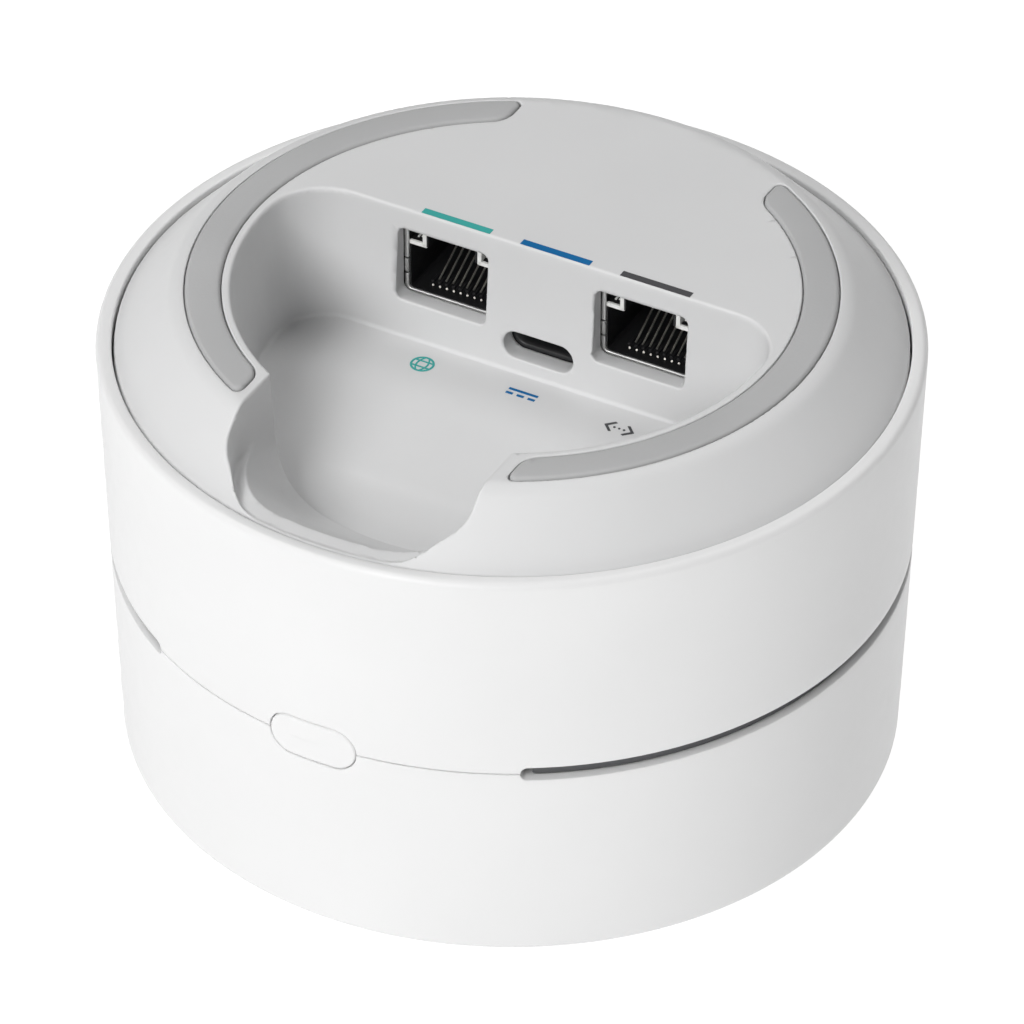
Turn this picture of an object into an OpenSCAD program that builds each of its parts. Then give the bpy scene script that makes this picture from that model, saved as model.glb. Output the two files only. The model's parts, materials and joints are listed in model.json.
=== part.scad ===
/* [Puck body] */
// Outside diameter at the base rim
rim_d = 106.12; // [104:0.01:108]
// Outside diameter at the top cover face
face_d = 102.12; // [101:0.01:104]
// Height of the rim above the top cover face
rim_z = 60; // [59.5:0.1:60.5]
// Edge radius round the top cover face
face_edge_r = 1.5; // [0.8:0.1:3]
// Wall thickness of the two outer shells
wall = 2.4; // [2.2:0.1:2.5]

/* [Seam and light groove] */
// Height of the seam between the two shells
seam_z = 29.65; // [29.4:0.05:29.9]
// Height of the light groove
groove_h = 1.96; // [1.6:0.02:2.2]
// Depth of the light groove
groove_depth = 2.2; // [2:0.1:2.3]
// Half angle at the front that has a seam and no groove
groove_gap_deg = 30; // [25:1:35]
// Gap of the closed seam
seam_gap = 0.14; // [0.1:0.02:0.2]

/* [Base] */
// Height of the flat of the base
flat_z = 67.54; // [67.3:0.02:67.7]
// Radius of the flat of the base
flat_r = 42.83; // [42.5:0.05:43.2]
// Radius of the base at its outer edge
base_r = 50.75; // [50.6:0.05:50.8]
// Height of the base's outer edge
base_edge_z = 59.25; // [59.1:0.05:59.4]

/* [Port pocket] */
// Radius of the pocket at the flat
pocket_r = 35.73; // [35.5:0.05:35.9]
// Distance of the port wall from the middle, at the flat
port_wall_y = 8.05; // [7.8:0.05:8.2]
// Draft angle of the pocket walls
draft_deg = 4.5; // [3:0.5:5]
// Height of the pocket floor
floor_z = 48.5; // [48:0.1:49]
// Half width of the cable exit
exit_half_w = 17.1; // [16.5:0.1:17.5]
// Corner radius of the cable exit
exit_corner_r = 8.5; // [7:0.1:9]
// Radius at which the cable exit ends
exit_r = 50.35; // [50:0.05:50.5]
// Slope of the cable ramp
ramp_deg = 39.5; // [38:0.5:40]

/* [Ports] */
// Distance of each network port from the middle
jack_x = 14.45; // [14.3:0.05:14.6]
// Width of a network port window
jack_w = 13.3; // [13:0.1:13.5]
// Lowest point of a network port window
jack_low_z = 53.9; // [53.8:0.1:54]
// Highest point of a network port window
jack_high_z = 64.45; // [64.2:0.05:64.6]
// Height of the middle of the power inlet
usb_z = 52.5; // [52.4:0.05:52.6]
// Width of the power inlet window
usb_w = 10.2; // [9.8:0.1:10.4]
// Height of the power inlet window
usb_h = 3.9; // [3.7:0.1:4]

/* [Feet] */
// Height of the object over its rubber feet
foot_z = 67.85; // [67.7:0.05:68.2]
// Inner radius of the foot grooves
foot_in_r = 36.84; // [36.7:0.02:36.9]
// Outer radius of the foot grooves
foot_out_r = 41.65; // [41.5:0.05:41.8]
// Distance from the middle at which the feet end
foot_end_x = 18.75; // [18:0.05:19.5]

/* [Reset button] */
// Width of the button opening
button_w = 12.5; // [12:0.1:13]
// Height of the button opening
button_h = 6.4; // [6.2:0.1:6.6]
// Clearance round the button
button_gap = 0.15; // [0.12:0.01:0.2]
// Button travel
button_travel = 0.4; // [0.25:0.05:0.5]

/* [Hidden] */
$fn = 96;

face_r = face_d / 2;
rim_r = rim_d / 2;
draft = tan(draft_deg);
ramp = tan(ramp_deg);
groove_lo = seam_z - groove_h / 2;
groove_hi = seam_z + groove_h / 2;

// Inner faces of the base
base_wall = 2;
flat_low_z = flat_z - base_wall;
skirt_in_r = 48.9;
skirt_z = 55.5;
tub_back_y = 9.65;
tub_wall = 1.6;
floor_wall = 1.8;
land_z = 59.45;
pocket_depth = flat_z - floor_z;
floor_r = pocket_r - draft * pocket_depth;
ramp_r = floor_r + 0.3;
land_r = ramp_r + (land_z - floor_z) / ramp;
ramp_corner_r = 13;

// Seat of the base in the side housing
rim_in_r = 50.95;
rim_edge_r = 0.9;
ledge_in_r = 48.4;
ledge_low_z = 53.5;
flange_low_z = 40.8;
flange_high_z = 42.4;
flange_in_r = 46.5;

// Foot grooves and the screws that they hide
foot_floor_z = 66.6;
foot_half_deg = 66;
foot_gap = 0.1;
post_circle_r = 39.6;
post_deg = 35;
post_r = 2.2;
screw_r = 1;
pilot_r = 1.02;

// Frame feet, on the cover's bosses
boss_circle_r = 43.6;
boss_r = 2.8;
ring_low_z = 31.6;
ring_high_z = 32.8;
frame_low_z = 38.6;
frame_high_z = flange_low_z;

// Boards
main_low_z = 36;
main_high_z = 37.6;
main_r = 40.2;
port_low_z = 49.3;
port_high_z = 50.9;
port_half_w = 28.5;
port_front_y = 9.75;
port_back_y = 37.5;
mezz_mid_z = 43.4;
mezz_y = 27;
mezz_half_w = 10;

// Heat sink
sink_low_z = 27;
sink_high_z = 33;
sink_r = 38;
sink_post_circle = 36;
sink_post_deg = 22;
fin_low_z = 8;
fin_t = 1.4;
fin_pitch = 5;

// Network jacks
shield_half_w = 8;
shield_high_z = 64.9;
shield_back_y = 31;
shield_t = 0.3;
cavity_half_w = 5.95;
cavity_low_z = 55;
cavity_high_z = 62;
latch_half_w = 3.3;
latch_high_z = 64.3;
cavity_back_y = 24;
contact_pitch = 1.02;
contact_w = 0.4;
contact_lean_deg = 24;
contact_front_y = 13;
window_in_x = 3.4;
window_out_x = 6.5;
window_low_z = 62.2;
window_high_z = 64.4;

// Power inlet
usb_shell_half_w = 4.47;
usb_shell_half_h = 1.58;
usb_shell_t = 0.3;
usb_len = 7.4;

// Antennas
carrier_wall_r = 38.2;
carrier_wall_t = 1.6;
carrier_low_z = 2.4;
carrier_high_z = 26;
antenna_t = 0.4;
antenna_half_deg = 19;
lead_r = 0.55;
lead_circle_r = 40.9;

// Reset switch
cap_back_y = -49;
flange_back_y = -48;
plunger_tip_y = -46.2;
switch_front_y = plunger_tip_y + button_travel + 1.2;
switch_back_y = -41.6;
switch_half_w = 3;
switch_low_z = 27.8;
contact_gap = 0.05;

// Printed marks
ink_t = 0.06;
bar_w = 10;
bar_h = 1.06;
bar_y = 8.86;
bar_shift = 1.6;
icon_y = 2.5;

function shell_r(z) = face_r + (rim_r - face_r) * z / rim_z;
function arc(cx, cy, r, a0, a1, n = 8) =
    [for (i = [0:n]) [cx + r * cos(a0 + (a1 - a0) * i / n), cy + r * sin(a0 + (a1 - a0) * i / n)]];

// Ring sector with a rectangular section
module ring_part(r0, r1, z0, z1, deg0, deg1) {
    rotate([0, 0, deg0])
        rotate_extrude(angle = deg1 - deg0, $fn = 180)
            translate([r0, z0])
                square([r1 - r0, z1 - z0]);
}

module tube(r0, r1, z0, z1) {
    translate([0, 0, z0])
        difference() {
            cylinder(h = z1 - z0, r = r1, $fn = 180);
            translate([0, 0, -1])
                cylinder(h = z1 - z0 + 2, r = r0, $fn = 180);
        }
}

// Box from its lowest to its highest corner
module span(low, high) {
    translate(low)
        cube(high - low);
}

// Bar along Y with a pill section
module pill(w, h, y0, y1, z) {
    span([-w / 2 + h / 2, y0, z - h / 2], [w / 2 - h / 2, y1, z + h / 2]);
    for (x = [-1, 1] * (w - h) / 2)
        translate([x, y0, z])
            rotate([-90, 0, 0])
                cylinder(h = y1 - y0, r = h / 2, $fn = 48);
}

module at_posts() {
    for (a = [post_deg, 180 - post_deg, 180 + post_deg, -post_deg])
        rotate([0, 0, a])
            translate([post_circle_r, 0, 0])
                children();
}

module at_bosses() {
    for (a = [45:90:315])
        rotate([0, 0, a])
            translate([boss_circle_r, 0, 0])
                children();
}

module at_sink_posts() {
    for (a = [90 - sink_post_deg, 90 + sink_post_deg, 270 - sink_post_deg, 270 + sink_post_deg])
        rotate([0, 0, a])
            translate([sink_post_circle, 0, 0])
                children();
}

module screw(head_r, head_h, top_z, tip_z) {
    translate([0, 0, tip_z])
        cylinder(h = top_z - tip_z, r = screw_r, $fn = 32);
    difference() {
        translate([0, 0, top_z])
            cylinder(h = head_h, r = head_r, $fn = 48);
        translate([0, 0, top_z + head_h / 2])
            cylinder(h = head_h, r = head_r * 0.5, $fn = 6);
    }
}

// Slot for the light, all round but for the front
module groove() {
    end_deg = groove_gap_deg + asin(groove_h / 2 / shell_r(seam_z));
    inner_r = shell_r(seam_z) - wall - 1;
    ring_part(inner_r, rim_r + 1, groove_lo, groove_hi, end_deg - 90, 270 - end_deg);
    for (a = [end_deg, -end_deg])
        rotate([0, 0, a - 90])
            translate([inner_r, 0, seam_z])
                rotate([0, 90, 0])
                    cylinder(h = rim_r + 1 - inner_r, r = groove_h / 2, $fn = 32);
}

module button_hole() {
    pill(button_w, button_h, -rim_r - 1, -44, seam_z);
}

module top_cover() {
    seam = seam_z - seam_gap / 2;
    lip_r = shell_r(seam) - wall;
    outline = concat(
        [[0, 0]],
        arc(face_r - face_edge_r, face_edge_r, face_edge_r, -90, 0),
        [[shell_r(seam), seam], [lip_r, seam], [shell_r(3) - wall, 3]],
        [[shell_r(3) - wall - 0.8, 2.2], [0, 2.2]]
    );
    color("white")
        difference() {
            union() {
                rotate_extrude($fn = 180)
                    polygon(outline);
                at_bosses()
                    translate([0, 0, 2])
                        cylinder(h = ring_low_z - 2, r = boss_r, $fn = 48);
                // Ribs that tie the bosses to the wall
                for (a = [45:90:315])
                    rotate([0, 0, a])
                        span([boss_circle_r + 2, -0.6, 2], [shell_r(10) - wall + 0.6, 0.6, 24]);
            }
            groove();
            button_hole();
            at_bosses()
                translate([0, 0, 18])
                    cylinder(h = 20, r = pilot_r, $fn = 32);
        }
}

module side_housing() {
    seam = seam_z + seam_gap / 2;
    outline = concat(
        [[shell_r(seam), seam]],
        arc(shell_r(rim_z - rim_edge_r) - rim_edge_r, rim_z - rim_edge_r, rim_edge_r, 0, 90),
        arc(rim_in_r + 0.3, rim_z - 0.3, 0.3, 90, 180, 3),
        [
            [rim_in_r, skirt_z], [ledge_in_r, skirt_z], [ledge_in_r, ledge_low_z],
            [shell_r(51) - wall, ledge_low_z - 1.6], [shell_r(flange_high_z) - wall, flange_high_z],
            [flange_in_r, flange_high_z], [flange_in_r, flange_low_z],
            [shell_r(flange_low_z) - wall, flange_low_z], [shell_r(seam) - wall, seam]
        ]
    );
    color("white")
        difference() {
            rotate_extrude($fn = 180)
                polygon(outline);
            groove();
            button_hole();
        }
}

// Outline of the pocket, drawn in by e
module pocket_outline(e) {
    corner_r = port_wall_y - e;
    corner_x = pocket_r - port_wall_y;
    polygon(concat(
        arc(0, 0, pocket_r - e, 180, 360, 64),
        arc(corner_x, 0, corner_r, 0, 90, 16),
        arc(-corner_x, 0, corner_r, 90, 180, 16)
    ));
}

// Outline of the cable exit with a corner radius and an end radius, grown by e
module exit_outline(corner_r, end_r, e) {
    r = corner_r + e;
    cx = exit_half_w - corner_r;
    cy = -sqrt(pow(end_r - corner_r, 2) - cx * cx);
    turn = atan2(cy, cx);
    polygon(concat(
        [[-exit_half_w - e, -22], [-exit_half_w - e, cy]],
        arc(-cx, cy, r, 180, 180 - turn, 16),
        arc(0, 0, end_r + e, 180 - turn, 360 + turn, 24),
        arc(cx, cy, r, 360 + turn, 360, 16),
        [[exit_half_w + e, cy], [exit_half_w + e, -22]]
    ));
}

module pocket_void() {
    hull() {
        translate([0, 0, flat_z + 1])
            linear_extrude(0.01)
                pocket_outline(-draft);
        translate([0, 0, floor_z])
            linear_extrude(0.01)
                pocket_outline(draft * pocket_depth);
    }
    // Cable ramp
    intersection() {
        translate([0, 0, floor_z])
            linear_extrude(30)
                exit_outline(ramp_corner_r, land_r, 0);
        rotate_extrude($fn = 180)
            polygon([[20, floor_z], [ramp_r, floor_z], [land_r + 2 / ramp, land_z + 2], [56, 75], [20, 75]]);
    }
    // Ledge at the top of the ramp
    translate([0, 0, land_z])
        linear_extrude(15)
            exit_outline(exit_corner_r, exit_r, 0);
}

module pocket_tub() {
    translate([0, 0, floor_z - floor_wall])
        linear_extrude(flat_z - floor_z)
            intersection() {
                circle(r = pocket_r + tub_wall, $fn = 128);
                translate([-40, -40])
                    square([80, 40 + tub_back_y]);
            }
    // Shell under the cable ramp
    intersection() {
        translate([0, 0, floor_z - floor_wall])
            linear_extrude(30)
                exit_outline(exit_corner_r, exit_r, 1.6);
        rotate_extrude($fn = 180)
            polygon([
                [24, floor_z - floor_wall], [floor_r + 1, floor_z - floor_wall],
                [land_r + 1.2, land_z - 2.6], [base_r, land_z - 2.6], [base_r, base_edge_z],
                [flat_r, flat_z - 0.2], [24, flat_z - 0.2]
            ]);
    }
}

module base_plate() {
    color([0.83, 0.84, 0.84])
        difference() {
            union() {
                rotate_extrude($fn = 180)
                    polygon(concat(
                        [[0, flat_low_z], [flat_r - 0.7, flat_low_z], [skirt_in_r, base_edge_z - 1],
                        [skirt_in_r, skirt_z], [base_r, skirt_z], [base_r, base_edge_z]],
                        arc(flat_r - 0.5, flat_z - 1.2, 1.2, 46, 90, 4),
                        [[0, flat_z]]
                    ));
                pocket_tub();
                for (x = [-1, 1])
                    translate([x * 25.6, 33, port_high_z])
                        cylinder(h = flat_low_z + 0.1 - port_high_z, r = 2.4, $fn = 48);
            }
            pocket_void();
            for (x = [-jack_x, jack_x])
                span([x - jack_w / 2, 0, jack_low_z], [x + jack_w / 2, 14, jack_high_z]);
            pill(usb_w, usb_h, 0, 14, usb_z);
            for (x = [-1, 1])
                translate([x * 25.6, 33, port_high_z - 1])
                    cylinder(h = 9, r = pilot_r, $fn = 32);
            foot_groove(0);
            foot_groove(180);
            at_posts()
                translate([0, 0, 60])
                    cylinder(h = 8, r = 1.2, $fn = 32);
        }
}

// Removes what lies nearer to the middle plane than x
module end_cut(x) {
    span([-x, -50, foot_floor_z - 1], [x, 50, flat_z + 2]);
}

module foot_groove(turn) {
    difference() {
        ring_part(foot_in_r, foot_out_r, foot_floor_z, flat_z + 1, turn - foot_half_deg, turn + foot_half_deg);
        end_cut(foot_end_x);
    }
}

module rubber_foot(turn) {
    edge = 0.5;
    rotate([0, 0, turn - foot_half_deg])
        rotate_extrude(angle = 2 * foot_half_deg, $fn = 180)
            polygon(concat(
                [[foot_in_r + foot_gap, foot_floor_z], [foot_out_r - foot_gap, foot_floor_z]],
                arc(foot_out_r - foot_gap - edge, foot_z - edge, edge, 0, 90, 4),
                arc(foot_in_r + foot_gap + edge, foot_z - edge, edge, 90, 180, 4)
            ));
}

module rubber_foot_left() {
    color([0.68, 0.69, 0.7])
        foot_with_screw_room(180);
}

module rubber_foot_right() {
    color([0.68, 0.69, 0.7])
        foot_with_screw_room(0);
}

module foot_with_screw_room(turn) {
    difference() {
        rubber_foot(turn);
        end_cut(foot_end_x + foot_gap);
        at_posts()
            translate([0, 0, foot_floor_z - 1])
                cylinder(h = 1.9, r = 1.86, $fn = 48);
    }
}

module light_ring() {
    half = groove_gap_deg + 3;
    nose_r = shell_r(seam_z) - groove_depth;
    color([0.3, 0.31, 0.32, 0.9]) {
        ring_part(46.9, shell_r(27) - wall - 0.15, seam_z - 1.8, seam_z + 1.8, half - 90, 270 - half);
        ring_part(48.8, nose_r - 0.05, groove_lo + 0.06, groove_hi - 0.06, half - 90, 270 - half);
    }
}

module reset_button() {
    c = 2 * button_gap;
    color("white") {
        intersection() {
            pill(button_w - c, button_h - c, -rim_r, cap_back_y, seam_z);
            cylinder(h = rim_z, r1 = face_r, r2 = rim_r, $fn = 180);
        }
        pill(button_w + 2, button_h + 1.6, cap_back_y, flange_back_y, seam_z);
        translate([0, flange_back_y, seam_z])
            rotate([-90, 0, 0])
                cylinder(h = plunger_tip_y - flange_back_y - contact_gap, r = 1.4, $fn = 48);
    }
}

module button_guide() {
    color([0.75, 0.76, 0.77])
        union() {
            for (s = [0, 1])
                mirror([s, 0, 0]) {
                    span([switch_half_w + 0.3, -45.6, ring_low_z - 1.6], [10, -41.8, ring_low_z]);
                    span([8.2, -47.9, seam_z - 4.2], [9.4, -43.6, ring_low_z]);
                }
            span([-9.4, -47.3, seam_z - 4.2], [9.4, -43.6, seam_z - 3]);
        }
}

module switch_body() {
    color([0.25, 0.25, 0.27])
        difference() {
            span([-switch_half_w, switch_front_y, switch_low_z], [switch_half_w, switch_back_y, ring_low_z]);
            translate([0, switch_front_y - 1, seam_z])
                rotate([-90, 0, 0])
                    cylinder(h = 2.8, r = 1.3, $fn = 48);
        }
}

module switch_plunger() {
    color([0.9, 0.9, 0.88])
        translate([0, plunger_tip_y, seam_z])
            rotate([-90, 0, 0])
                cylinder(h = switch_front_y - plunger_tip_y + 1.2, r = 1.1, $fn = 48);
}

// Folded sheet box, open at the front
module jack_shield(x) {
    color([0.78, 0.79, 0.8])
        translate([x, 0, 0])
            difference() {
                span([-shield_half_w, port_front_y, port_high_z],
                    [shield_half_w, shield_back_y, shield_high_z]);
                span([-shield_half_w + shield_t, port_front_y + 1, port_high_z - 1],
                    [shield_half_w - shield_t, shield_back_y - shield_t, shield_high_z - shield_t]);
                span([-window_out_x - 0.1, port_front_y - 1, cavity_low_z - 0.6],
                    [window_out_x + 0.1, port_front_y + 2, window_high_z]);
            }
}

module jack_insert(x) {
    side = shield_half_w - shield_t;
    color([0.08, 0.08, 0.09])
        translate([x, 0, 0])
            difference() {
                span([-side, port_front_y + 1, port_high_z],
                    [side, shield_back_y - shield_t, shield_high_z - shield_t]);
                span([-cavity_half_w, port_front_y, cavity_low_z],
                    [cavity_half_w, cavity_back_y, cavity_high_z]);
                span([-latch_half_w, port_front_y, cavity_low_z],
                    [latch_half_w, cavity_back_y - 4, latch_high_z]);
                for (s = [-1, 1])
                    translate([s * (window_in_x + window_out_x) / 2, 0, 0])
                        span([(window_in_x - window_out_x) / 2, port_front_y, window_low_z],
                            [(window_out_x - window_in_x) / 2, port_front_y + 4, window_high_z]);
            }
}

// Eight sprung wires that rise from the floor to the back of the cavity
module jack_contacts(x) {
    wire_len = (cavity_back_y + 0.5 - contact_front_y) / cos(contact_lean_deg);
    color([0.85, 0.7, 0.35])
        for (i = [-3.5:3.5])
            translate([x + i * contact_pitch - contact_w / 2, contact_front_y, cavity_low_z - 0.2])
                rotate([contact_lean_deg, 0, 0])
                    cube([contact_w, wire_len, contact_w]);
}

module jack_windows(x) {
    color([0.93, 0.93, 0.9])
        for (s = [-1, 1])
            translate([x + s * (window_in_x + window_out_x) / 2, 0, 0])
                span([(window_in_x - window_out_x) / 2, port_front_y + 0.1, window_low_z],
                    [(window_out_x - window_in_x) / 2, port_front_y + 4, window_high_z]);
}

module wan_jack_shield() { jack_shield(-jack_x); }
module wan_jack_insert() { jack_insert(-jack_x); }
module wan_jack_contacts() { jack_contacts(-jack_x); }
module wan_jack_windows() { jack_windows(-jack_x); }
module lan_jack_shield() { jack_shield(jack_x); }
module lan_jack_insert() { jack_insert(jack_x); }
module lan_jack_contacts() { jack_contacts(jack_x); }
module lan_jack_windows() { jack_windows(jack_x); }

module usb_c_shell() {
    w = 2 * usb_shell_half_w;
    h = 2 * usb_shell_half_h;
    t = 2 * usb_shell_t;
    color([0.75, 0.76, 0.77]) {
        difference() {
            pill(w, h, port_front_y, port_front_y + usb_len, usb_z);
            pill(w - t, h - t, port_front_y - 1, port_front_y + usb_len - 0.5, usb_z);
        }
        // Legs that reach the board
        for (x = [-3.4, 2.6], y = [port_front_y + 1.2, port_front_y + 5.4])
            span([x, y, port_high_z], [x + 0.8, y + 1, usb_z - usb_shell_half_h + 0.1]);
    }
}

module usb_c_tongue() {
    back_y = port_front_y + usb_len - 0.5;
    color([0.1, 0.1, 0.11]) {
        span([-3.35, port_front_y + 0.9, usb_z - 0.35], [3.35, back_y, usb_z + 0.35]);
        span([-3.2, back_y - 1.6, usb_z - 1.2], [3.2, back_y, usb_z + 1.2]);
    }
}

module port_board() {
    color([0.05, 0.25, 0.16])
        difference() {
            intersection() {
                span([-port_half_w, port_front_y, port_low_z], [port_half_w, port_back_y, port_high_z]);
                translate([0, 0, port_low_z - 1])
                    cylinder(h = 4, r = 43.5, $fn = 180);
            }
            for (x = [-1, 1])
                translate([x * 25.6, 33, port_low_z - 1])
                    cylinder(h = 4, r = 1.2, $fn = 32);
        }
}

module ethernet_transformers() {
    color([0.12, 0.12, 0.13])
        for (x = [-jack_x, jack_x])
            span([x - 8, 12, port_low_z - 4.6], [x + 8, 25, port_low_z]);
}

module power_inductor() {
    color([0.3, 0.3, 0.31])
        translate([0, 16, port_low_z - 3.8])
            difference() {
                span([-4, -4, 0], [4, 4, 3.8]);
                translate([0, 0, -1])
                    cylinder(h = 2, r = 1.2, $fn = 32);
            }
}

module board_socket() {
    color([0.9, 0.88, 0.8])
        difference() {
            span([-mezz_half_w, mezz_y, mezz_mid_z], [mezz_half_w, mezz_y + 5, port_low_z]);
            span([-mezz_half_w + 0.8, mezz_y + 1.5, mezz_mid_z - 1],
                [mezz_half_w - 0.8, mezz_y + 3.5, port_low_z - 1.5]);
        }
}

module board_header() {
    color([0.15, 0.15, 0.16]) {
        span([-mezz_half_w, mezz_y, main_high_z], [mezz_half_w, mezz_y + 5, mezz_mid_z]);
        for (i = [-4:4])
            span([i * 2 - 0.3, mezz_y + 2.2, mezz_mid_z - 1], [i * 2 + 0.3, mezz_y + 2.8, mezz_mid_z + 4]);
    }
}

module main_board() {
    color([0.05, 0.25, 0.16])
        difference() {
            translate([0, 0, main_low_z])
                cylinder(h = main_high_z - main_low_z, r = main_r, $fn = 180);
            at_sink_posts()
                translate([0, 0, main_low_z - 1])
                    cylinder(h = 4, r = 1.2, $fn = 32);
            for (a = [0:90:270])
                rotate([0, 0, a])
                    translate([lead_circle_r, 0, main_low_z - 1])
                        cylinder(h = 4, r = 1.4, $fn = 32);
        }
}

module wifi_processor() {
    color([0.1, 0.1, 0.11])
        span([-8.5, -8.5, main_low_z - 1.2], [8.5, 8.5, main_low_z]);
}

module memory_chips() {
    color([0.1, 0.1, 0.11])
        for (y = [14, -20])
            span([-7, y, main_high_z], [7, y + 8, main_high_z + 1.1]);
}

module flash_chip() {
    color([0.1, 0.1, 0.11])
        span([14, -5, main_high_z], [24, 7, main_high_z + 1]);
}

module shield_can(x0, x1, y0, y1) {
    color([0.8, 0.81, 0.82])
        difference() {
            span([x0, y0, main_low_z - 2], [x1, y1, main_low_z]);
            span([x0 + 0.25, y0 + 0.25, main_low_z - 1.75], [x1 - 0.25, y1 - 0.25, main_low_z + 1]);
        }
}

module radio_shield_can() { shield_can(13, 31, -14, 14); }
module processor_shield_can() { shield_can(-11, 11, -12, 12); }

module thermal_pads() {
    color([0.6, 0.62, 0.66]) {
        span([-10, -10, sink_high_z], [10, 10, main_low_z - 2]);
        span([14.5, -12, sink_high_z], [29.5, 12, main_low_z - 2]);
    }
}

module heat_sink() {
    color([0.62, 0.64, 0.66])
        difference() {
            union() {
                translate([0, 0, sink_low_z])
                    cylinder(h = sink_high_z - sink_low_z, r = sink_r, $fn = 180);
                at_sink_posts()
                    translate([0, 0, sink_high_z - 1])
                        cylinder(h = main_low_z - sink_high_z + 1, r = 2.4, $fn = 48);
                intersection() {
                    translate([0, 0, fin_low_z])
                        cylinder(h = sink_low_z - fin_low_z + 1, r = 29, $fn = 180);
                    for (i = [-5:5])
                        span([i * fin_pitch - fin_t / 2, -30, fin_low_z],
                            [i * fin_pitch + fin_t / 2, 30, sink_low_z + 1]);
                }
            }
            at_sink_posts()
                translate([0, 0, sink_low_z + 1])
                    cylinder(h = 12, r = pilot_r, $fn = 32);
        }
}

module inner_frame() {
    color([0.8, 0.81, 0.82])
        difference() {
            union() {
                tube(41.5, 48.8, frame_low_z, frame_high_z);
                at_posts()
                    translate([0, 0, frame_low_z + 0.5])
                        cylinder(h = flat_low_z - frame_low_z - 0.5, r = post_r, $fn = 48);
                at_bosses()
                    translate([0, 0, ring_high_z])
                        cylinder(h = frame_low_z - ring_high_z + 1, r = boss_r, $fn = 48);
                at_sink_posts() {
                    span([0, -2.4, frame_low_z], [7, 2.4, frame_high_z]);
                    translate([0, 0, main_high_z])
                        cylinder(h = frame_high_z - main_high_z, r = 2.4, $fn = 48);
                }
            }
            at_posts()
                translate([0, 0, flat_low_z - 10])
                    cylinder(h = 12, r = pilot_r, $fn = 32);
            at_bosses()
                translate([0, 0, ring_high_z - 1])
                    cylinder(h = 12, r = 1.2, $fn = 32);
            at_sink_posts()
                translate([0, 0, main_high_z - 1])
                    cylinder(h = 6, r = 1.2, $fn = 32);
        }
}

module led_ring_board() {
    color([0.93, 0.93, 0.9])
        difference() {
            tube(41.6, 46.7, ring_low_z, ring_high_z);
            at_bosses()
                translate([0, 0, ring_low_z - 1])
                    cylinder(h = 3, r = 1.2, $fn = 32);
        }
}

module status_leds() {
    color([0.95, 0.95, 0.8])
        for (a = [-30:30:210])
            rotate([0, 0, a])
                span([45, -1.6, ring_low_z - 2.6], [46.6, 1.6, ring_low_z]);
}

module antenna_carrier() {
    color([0.86, 0.87, 0.87]) {
        tube(31, carrier_wall_r + carrier_wall_t, carrier_low_z - 0.2, carrier_low_z + 1.6);
        tube(carrier_wall_r, carrier_wall_r + carrier_wall_t, carrier_low_z, carrier_high_z);
    }
}

module antenna(turn) {
    r = carrier_wall_r + carrier_wall_t;
    color([0.85, 0.6, 0.35])
        difference() {
            ring_part(r + 0.05, r + antenna_t, 6, 23, turn - antenna_half_deg, turn + antenna_half_deg);
            ring_part(r - 1, r + 2, 10, 12, turn - antenna_half_deg - 1, turn + 8);
            ring_part(r - 1, r + 2, 16, 18, turn - 8, turn + antenna_half_deg + 1);
        }
}

module antenna_front() { antenna(270); }
module antenna_back() { antenna(90); }
module antenna_left() { antenna(180); }
module antenna_right() { antenna(0); }

// One coaxial lead for each antenna, up past the main board and in to its socket
module antenna_leads() {
    bend = 1.8;
    socket_r = 36.8;
    color([0.15, 0.15, 0.16])
        for (a = [0:90:270])
            rotate([0, 0, a]) {
                translate([lead_circle_r, 0, 19])
                    cylinder(h = main_high_z + 0.6 - 19, r = lead_r, $fn = 24);
                translate([lead_circle_r - bend, 0, main_high_z + 0.6])
                    rotate([90, 0, 0])
                        rotate_extrude(angle = 90, $fn = 48)
                            translate([bend, 0])
                                circle(r = lead_r, $fn = 24);
                translate([socket_r, 0, main_high_z + 0.6 + bend])
                    rotate([0, 90, 0])
                        cylinder(h = lead_circle_r - bend - socket_r, r = lead_r, $fn = 24);
            }
}

module antenna_sockets() {
    color([0.85, 0.75, 0.45])
        for (a = [0:90:270])
            rotate([0, 0, a])
                translate([35.4, 0, main_high_z])
                    cylinder(h = 3.2, r = 1.4, $fn = 32);
}

module base_screws() {
    color([0.7, 0.7, 0.72])
        at_posts()
            screw(1.8, 0.8, foot_floor_z, flat_low_z - 8);
}

module frame_screws() {
    color([0.7, 0.7, 0.72])
        at_bosses()
            screw(2, 1.2, frame_high_z, 20);
}

module heat_sink_screws() {
    color([0.7, 0.7, 0.72])
        at_sink_posts()
            screw(2, 1.2, frame_high_z, 30);
}

module port_board_screws() {
    color([0.7, 0.7, 0.72])
        for (x = [-1, 1])
            translate([x * 25.6, 33, port_low_z])
                rotate([180, 0, 0])
                    screw(2, 1.2, 0, -8);
}

module bar_mark(x) {
    span([x + bar_shift - bar_w / 2, bar_y - bar_h / 2, flat_z],
        [x + bar_shift + bar_w / 2, bar_y + bar_h / 2, flat_z + ink_t]);
}

// A pointed oval between two equal arcs
module lens(half_w, half_h) {
    r = (half_w * half_w + half_h * half_h) / (2 * half_w);
    intersection_for(s = [-1, 1])
        translate([s * (r - half_w), 0])
            circle(r = r, $fn = 96);
}

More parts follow.
